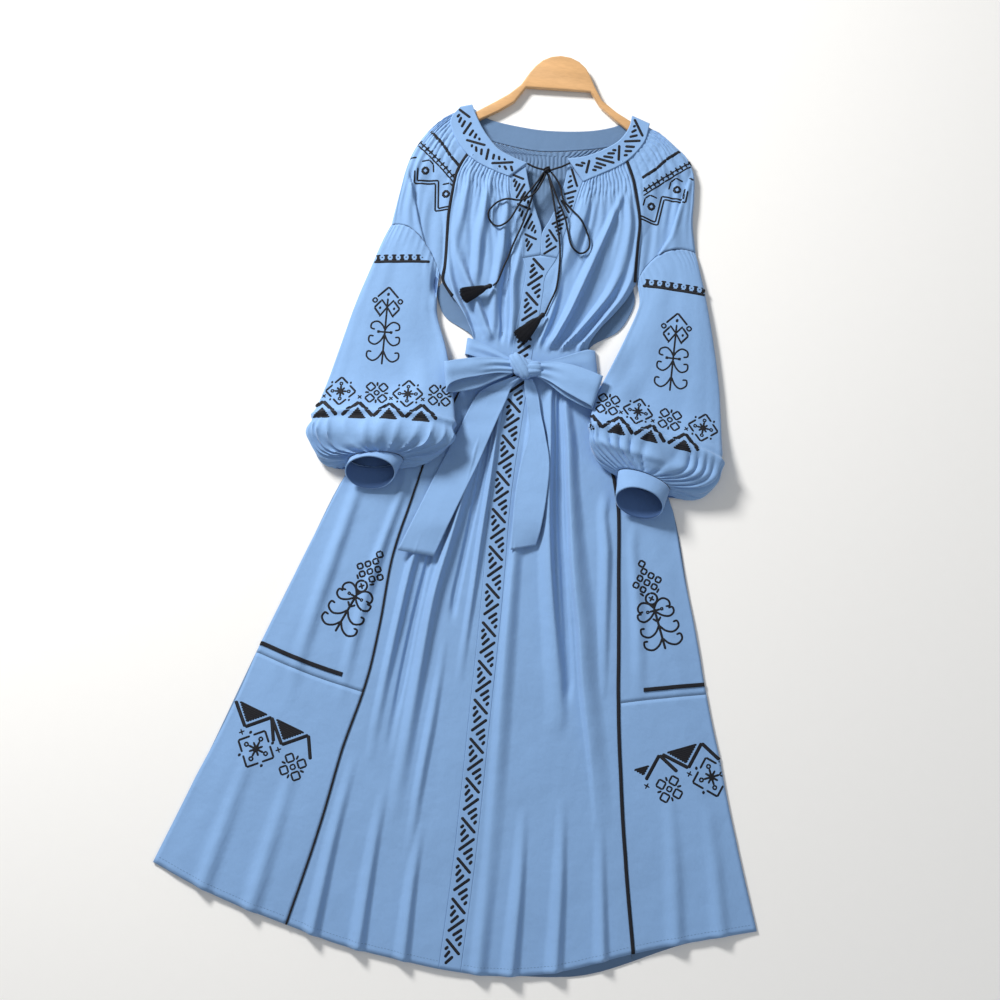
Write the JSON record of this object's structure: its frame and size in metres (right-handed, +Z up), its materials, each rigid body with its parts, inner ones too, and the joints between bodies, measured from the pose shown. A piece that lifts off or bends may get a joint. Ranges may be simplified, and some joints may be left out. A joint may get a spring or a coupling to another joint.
{
  "type": "a-line dress on a clothes hanger",
  "caption": "Long-sleeved a-line dress laid flat on a wooden hanger, with shirred neck, tied V opening, puffed sleeves, bow belt and embroidered bands.",
  "frame": {"origin": "the floor under the belt's knot, on the flat underside of the dress", "axes": "+Y runs along the dress from the hem to the neck, +X to the wearer's left sleeve as pictured on the right, +Z up from the surface"},
  "size_m": [0.812, 1.3051, 0.0479],
  "materials": {
    "blue_cloth": "matte",
    "embroidered_band": "matte",
    "dark_trim": "matte",
    "honey_wood": "satin"
  },
  "bodies": {
    "root": {"back_centre": "blue_cloth", "back_side_left": "blue_cloth", "back_side_right": "blue_cloth", "belt_back": "blue_cloth", "belt_knot": "blue_cloth", "belt_left": "blue_cloth", "belt_right": "blue_cloth", "belt_tail_left": "blue_cloth", "belt_tail_right": "blue_cloth", "bow_loop_left": "blue_cloth", "bow_loop_right": "blue_cloth", "centre_band": "embroidered_band", "cord_end_left": "dark_trim", "cord_end_right": "dark_trim", "cord_knot": "dark_trim", "cord_loop_left": "dark_trim", "cord_loop_right": "dark_trim", "cord_neck_left": "dark_trim", "cord_neck_right": "dark_trim", "cuff_left": "blue_cloth", "cuff_right": "blue_cloth", "front_left": "blue_cloth", "front_right": "blue_cloth", "front_side_left_lower": "blue_cloth", "front_side_left_upper": "blue_cloth", "front_side_right_lower": "blue_cloth", "front_side_right_upper": "blue_cloth", "hanger": "honey_wood", "knee_tape_left": "dark_trim", "knee_tape_right": "dark_trim", "lower_sleeve_left": "blue_cloth", "lower_sleeve_right": "blue_cloth", "neckband_back": "embroidered_band", "neckband_front_left": "embroidered_band", "neckband_front_right": "embroidered_band", "seam_trim_left": "dark_trim", "seam_trim_right": "dark_trim", "sleeve_cap_left": "blue_cloth", "sleeve_cap_right": "blue_cloth", "tassel_left": "dark_trim", "tassel_right": "dark_trim", "v_band_left": "embroidered_band", "v_band_right": "embroidered_band"}
  },
  "joints": []
}
